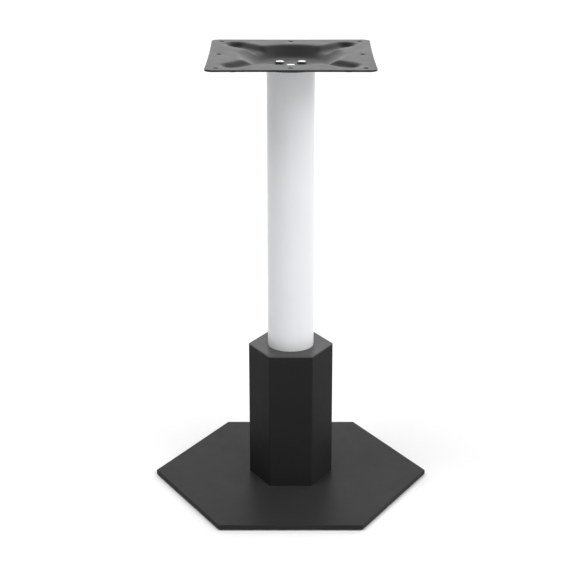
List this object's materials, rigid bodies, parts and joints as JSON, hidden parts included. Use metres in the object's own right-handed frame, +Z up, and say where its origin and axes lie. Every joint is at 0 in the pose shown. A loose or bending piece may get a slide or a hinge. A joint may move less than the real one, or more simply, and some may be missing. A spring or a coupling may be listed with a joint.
{
  "type": "table base",
  "caption": "Table base with a flat hexagonal foot plate, a hexagonal sheet cover, a round column and a pressed square top plate with screw holes for a table top.",
  "frame": {"origin": "on the floor, on the column axis", "axes": "+Z up along the column; +X towards a corner of the hexagonal foot plate; -Y is the front, the side the picture shows"},
  "size_m": [0.4612, 0.4, 0.73],
  "materials": {
    "black_coat": "satin black powder coat",
    "black_plate": "satin black powder coat on pressed sheet",
    "white_coat": "satin white powder coat",
    "zinc": "bright zinc plating",
    "dark_screw": "black oxide",
    "bare_steel": "plain mild steel, inside",
    "pad": "closed-cell foam rubber"
  },
  "bodies": {
    "root": {"base_plate": "black_coat", "foot_pads": "pad", "base_screws": "dark_screw", "foot_flange": "bare_steel", "column_tube": "white_coat", "head_disc": "bare_steel", "sleeve_wall": "black_coat", "sleeve_lid": "black_coat", "top_plate": "black_plate", "top_bolts": "zinc"}
  },
  "joints": []
}
